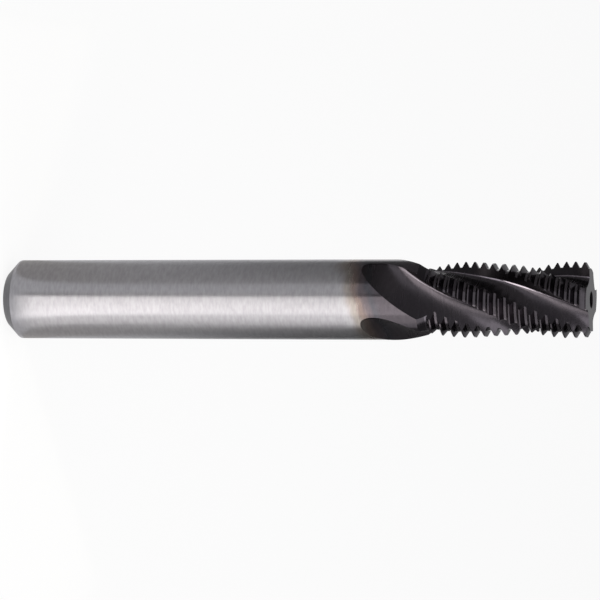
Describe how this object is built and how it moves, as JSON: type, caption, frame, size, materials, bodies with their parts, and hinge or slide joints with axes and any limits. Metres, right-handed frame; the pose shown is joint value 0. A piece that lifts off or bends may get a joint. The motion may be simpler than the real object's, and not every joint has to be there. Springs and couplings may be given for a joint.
{
  "type": "thread mill",
  "caption": "Solid carbide thread mill with a plain round shank, helical flutes, ring-shaped thread teeth and a coolant hole along its axis.",
  "frame": {"origin": "centre of the flat rear face of the shank, on which the tool stands", "axes": "+Z along the tool axis, from the shank end to the cutting end"},
  "size_m": [0.012, 0.012, 0.09],
  "materials": {
    "carbide": "fine ground shank, dark hard coating on the cutting end"
  },
  "bodies": {
    "root": {"thread_mill": "carbide"}
  },
  "joints": []
}
